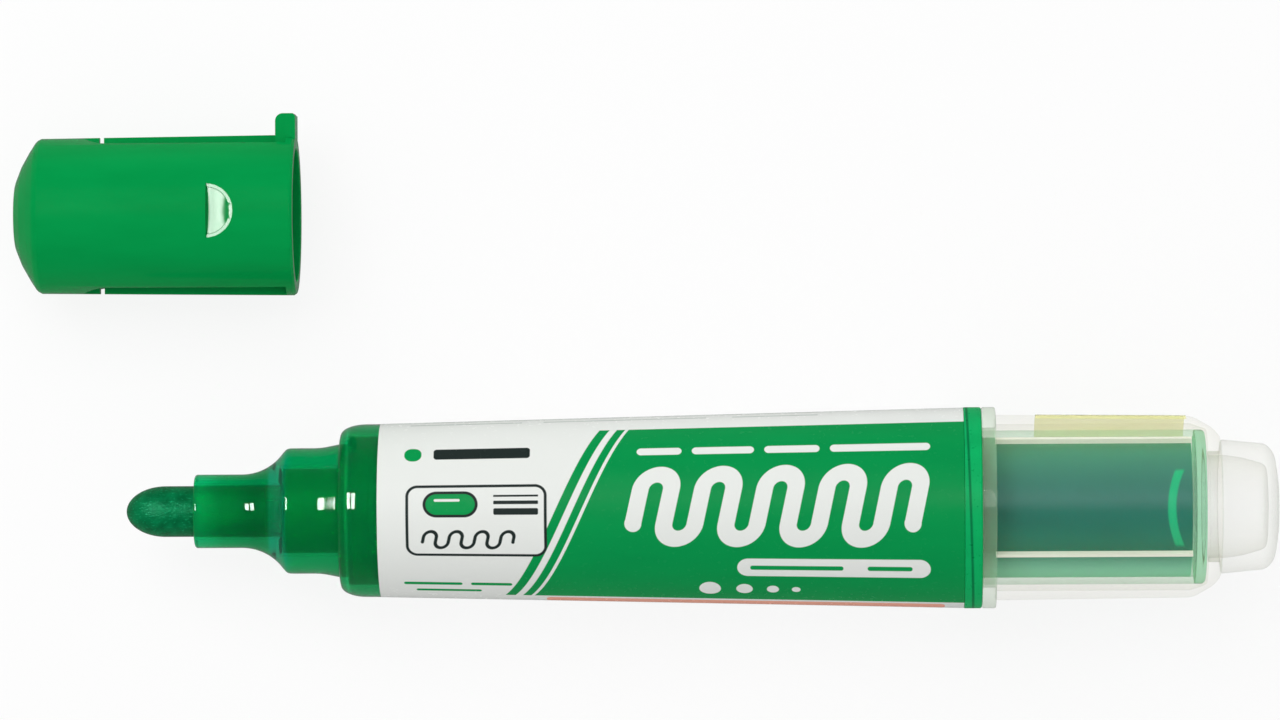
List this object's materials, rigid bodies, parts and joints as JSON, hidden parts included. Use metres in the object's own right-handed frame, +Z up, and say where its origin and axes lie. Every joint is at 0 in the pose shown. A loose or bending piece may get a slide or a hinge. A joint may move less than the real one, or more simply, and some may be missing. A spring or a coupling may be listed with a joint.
{
  "type": "whiteboard marker",
  "caption": "Refillable whiteboard marker with a bullet nib, a clear front, a labelled tapered barrel and a translucent rear shell over its ink cartridge, lying beside its cap.",
  "frame": {"origin": "centre of the bounding box of the marker and its cap, at the level of the table they lie on", "axes": "+X along the marker from its nib to its tail, +Y towards the cap, +Z up"},
  "size_m": [0.1482, 0.0584, 0.0235],
  "materials": {
    "felt_nib": "pressed acrylic fibre soaked with green ink",
    "clear_green": "clear tinted gloss",
    "teal_plastic": "gloss",
    "wick_fibre": "bundled fibre soaked with ink",
    "collector_plastic": "moulded satin",
    "natural_plastic": "satin, slightly translucent",
    "black_rubber": "matt",
    "label_film": "printed gloss film",
    "cartridge_plastic": "translucent satin",
    "seal_foil": "thin bright foil",
    "green_ink": "liquid",
    "shell_plastic": "natural translucent gloss",
    "sticker_film": "printed paper film",
    "plug_plastic": "milky translucent gloss",
    "cap_plastic": "opaque gloss"
  },
  "bodies": {
    "barrel_group": {"barrel": "clear_green", "barrel_label": "label_film", "mouthpiece": "clear_green", "nib_stop": "teal_plastic", "feed_wick": "wick_fibre", "collector": "collector_plastic", "piercing_tube": "natural_plastic", "front_gasket": "black_rubber"},
    "nib_body": {"nib": "felt_nib"},
    "cartridge_body": {"cartridge_tube": "cartridge_plastic", "cartridge_neck": "natural_plastic", "neck_seal": "black_rubber", "cartridge_foil": "seal_foil", "ink_fill": "green_ink"},
    "plug_body": {"tail_plug": "plug_plastic"},
    "shell_body": {"rear_shell": "shell_plastic", "shell_sticker": "sticker_film"},
    "cap_body": {"cap_shell": "cap_plastic", "inner_cap": "natural_plastic"}
  },
  "joints": [
    {"name": "cap_pull", "type": "slide", "parent": "barrel_group", "child": "cap_body", "axis": [-1, 0, 0], "range_m": [-0.0052, 0.0205]},
    {"name": "nib_pull", "type": "slide", "parent": "barrel_group", "child": "nib_body", "axis": [-1, 0, 0], "range_m": [0, 0.012]},
    {"name": "cartridge_draw", "type": "slide", "parent": "barrel_group", "child": "cartridge_body", "axis": [1, 0, 0], "range_m": [0, 0.042]},
    {"name": "shell_back_off", "type": "slide", "parent": "cartridge_body", "child": "plug_body", "axis": [1, 0, 0], "range_m": [0, 0.0055]},
    {"name": "shell_turn", "type": "hinge", "parent": "plug_body", "child": "shell_body", "pos_m": [0.04925, -0.01741, 0.01175], "axis": [1, 0, 0], "range_deg": [0, 990]}
  ],
  "couplings": [
    {"joint": "shell_back_off", "follows": "shell_turn", "m_per_rad": 0.00031831}
  ]
}
